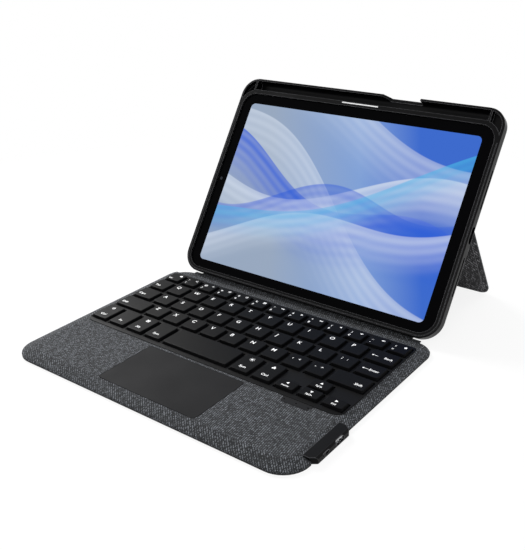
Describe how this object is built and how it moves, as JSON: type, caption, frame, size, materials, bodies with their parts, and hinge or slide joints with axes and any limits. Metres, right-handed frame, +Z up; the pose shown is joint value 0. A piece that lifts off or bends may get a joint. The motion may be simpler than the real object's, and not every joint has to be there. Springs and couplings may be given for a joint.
{
  "type": "tablet keyboard case",
  "caption": "Fabric folio keyboard with trackpad, folding spine and a tablet shell with a stylus trough and a kickstand.",
  "frame": {"origin": "centre of the keyboard base's flat underside", "axes": "+X to the typist's right, +Y away from the typist, +Z up"},
  "size_m": [0.2526, 0.2951, 0.1557],
  "materials": {
    "cover_fabric": "woven",
    "core_abs": "moulded",
    "deck_abs": "moulded",
    "key_abs": "moulded",
    "steel": "brushed",
    "light_guide": "clear",
    "membrane_film": "printed",
    "dome_rubber": "moulded",
    "circuit_board": "laminate",
    "cell_pouch": "foil",
    "trackpad_film": "satin",
    "lamp_lens": "clear",
    "bumper_tpu": "satin",
    "stiff_board": "laminate",
    "tablet_metal": "anodised",
    "tablet_inside": "packed",
    "bezel_glass": "polished",
    "display_panel": "lit",
    "lens_glass": "polished",
    "window_plastic": "moulded"
  },
  "bodies": {
    "base": {"base_bottom_cover": "cover_fabric", "base_core_frame": "core_abs", "base_top_cover": "cover_fabric", "key_deck": "deck_abs", "key_support_plate": "steel", "backlight_sheet": "light_guide", "membrane_sheet": "membrane_film", "key_domes": "dome_rubber", "trackpad_board": "circuit_board", "trackpad_switch": "steel", "battery_cell": "cell_pouch", "main_board": "circuit_board", "base_magnets": "steel", "port_housing": "core_abs", "usb_c_socket": "steel", "indicator_bar": "core_abs", "indicator_lights": "lamp_lens"},
    "number_row": {"number_row_keys": "key_abs"},
    "upper_row": {"upper_row_keys": "key_abs"},
    "home_row": {"home_row_keys": "key_abs"},
    "lower_row": {"lower_row_keys": "key_abs"},
    "left_modifiers": {"left_modifier_keys": "key_abs"},
    "right_modifiers": {"right_modifier_keys": "key_abs"},
    "space": {"space_bar": "key_abs"},
    "tab": {"tab_key": "key_abs"},
    "backspace": {"backspace_key": "key_abs"},
    "caps": {"caps_key": "key_abs"},
    "enter": {"enter_key": "key_abs"},
    "left_shift": {"left_shift_key": "key_abs"},
    "right_shift": {"right_shift_key": "key_abs"},
    "arrow_left": {"arrow_left_key": "key_abs"},
    "arrow_down": {"arrow_down_key": "key_abs"},
    "arrow_up": {"arrow_up_key": "key_abs"},
    "arrow_right": {"arrow_right_key": "key_abs"},
    "trackpad": {"trackpad_plate": "trackpad_film"},
    "power_switch": {"power_switch_knob": "core_abs"},
    "spine": {"spine_cover": "cover_fabric", "spine_stiffener": "stiff_board"},
    "shell": {"shell_bumper_frame": "bumper_tpu", "shell_back_panel": "bumper_tpu", "shell_upper_board": "stiff_board", "shell_upper_fabric": "cover_fabric", "spine_anchor_strip": "steel", "hinge_fixed_leaves": "steel", "hinge_pins": "steel", "charging_window": "window_plastic", "tablet_housing": "tablet_metal", "tablet_core": "tablet_inside", "tablet_cover_glass": "bezel_glass", "tablet_display": "display_panel", "tablet_front_camera": "lens_glass", "tablet_rear_camera": "lens_glass"},
    "kickstand": {"kickstand_board": "stiff_board", "kickstand_fabric": "cover_fabric", "kickstand_lining": "cover_fabric", "hinge_moving_leaves": "steel"}
  },
  "joints": [
    {"name": "number_row_press", "type": "slide", "parent": "base", "child": "number_row", "axis": [0, 0, -1], "range_m": [0, 0.0015], "stiffness_N_per_m": 3250, "springref_m": -0.001},
    {"name": "upper_row_press", "type": "slide", "parent": "base", "child": "upper_row", "axis": [0, 0, -1], "range_m": [0, 0.0015], "stiffness_N_per_m": 2500, "springref_m": -0.001},
    {"name": "home_row_press", "type": "slide", "parent": "base", "child": "home_row", "axis": [0, 0, -1], "range_m": [0, 0.0015], "stiffness_N_per_m": 2500, "springref_m": -0.001},
    {"name": "lower_row_press", "type": "slide", "parent": "base", "child": "lower_row", "axis": [0, 0, -1], "range_m": [0, 0.0015], "stiffness_N_per_m": 2250, "springref_m": -0.001},
    {"name": "left_modifiers_press", "type": "slide", "parent": "base", "child": "left_modifiers", "axis": [0, 0, -1], "range_m": [0, 0.0015], "stiffness_N_per_m": 1000, "springref_m": -0.001},
    {"name": "right_modifiers_press", "type": "slide", "parent": "base", "child": "right_modifiers", "axis": [0, 0, -1], "range_m": [0, 0.0015], "stiffness_N_per_m": 500, "springref_m": -0.001},
    {"name": "space_press", "type": "slide", "parent": "base", "child": "space", "axis": [0, 0, -1], "range_m": [0, 0.0015], "stiffness_N_per_m": 250, "springref_m": -0.001},
    {"name": "tab_press", "type": "slide", "parent": "base", "child": "tab", "axis": [0, 0, -1], "range_m": [0, 0.0015], "stiffness_N_per_m": 250, "springref_m": -0.001},
    {"name": "backspace_press", "type": "slide", "parent": "base", "child": "backspace", "axis": [0, 0, -1], "range_m": [0, 0.0015], "stiffness_N_per_m": 250, "springref_m": -0.001},
    {"name": "caps_press", "type": "slide", "parent": "base", "child": "caps", "axis": [0, 0, -1], "range_m": [0, 0.0015], "stiffness_N_per_m": 250, "springref_m": -0.001},
    {"name": "enter_press", "type": "slide", "parent": "base", "child": "enter", "axis": [0, 0, -1], "range_m": [0, 0.0015], "stiffness_N_per_m": 250, "springref_m": -0.001},
    {"name": "left_shift_press", "type": "slide", "parent": "base", "child": "left_shift", "axis": [0, 0, -1], "range_m": [0, 0.0015], "stiffness_N_per_m": 250, "springref_m": -0.001},
    {"name": "right_shift_press", "type": "slide", "parent": "base", "child": "right_shift", "axis": [0, 0, -1], "range_m": [0, 0.0015], "stiffness_N_per_m": 250, "springref_m": -0.001},
    {"name": "arrow_left_press", "type": "slide", "parent": "base", "child": "arrow_left", "axis": [0, 0, -1], "range_m": [0, 0.0015], "stiffness_N_per_m": 250, "springref_m": -0.001},
    {"name": "arrow_down_press", "type": "slide", "parent": "base", "child": "arrow_down", "axis": [0, 0, -1], "range_m": [0, 0.0015], "stiffness_N_per_m": 250, "springref_m": -0.001},
    {"name": "arrow_up_press", "type": "slide", "parent": "base", "child": "arrow_up", "axis": [0, 0, -1], "range_m": [0, 0.0015], "stiffness_N_per_m": 250, "springref_m": -0.001},
    {"name": "arrow_right_press", "type": "slide", "parent": "base", "child": "arrow_right", "axis": [0, 0, -1], "range_m": [0, 0.0015], "stiffness_N_per_m": 250, "springref_m": -0.001},
    {"name": "trackpad_click", "type": "hinge", "parent": "base", "child": "trackpad", "pos_m": [0, -0.0258, 0.00405], "axis": [1, 0, 0], "range_deg": [0, 0.55], "stiffness_Nm_per_rad": 7, "springref_deg": -0.34},
    {"name": "power_switch_slide", "type": "slide", "parent": "base", "child": "power_switch", "axis": [0, 1, 0], "range_m": [0, 0.0024]},
    {"name": "spine_fold", "type": "hinge", "parent": "base", "child": "spine", "pos_m": [0, 0.0882, 0.002], "axis": [1, 0, 0], "range_deg": [0, 96]},
    {"name": "shell_tilt", "type": "hinge", "parent": "spine", "child": "shell", "pos_m": [0, 0.1005, 0.00065], "axis": [1, 0, 0], "range_deg": [-60, 27.8]},
    {"name": "kickstand_swing", "type": "hinge", "parent": "shell", "child": "kickstand", "pos_m": [0, 0.15506, 0.0755], "axis": [1, 0, 0], "range_deg": [-68.03, 33]}
  ]
}
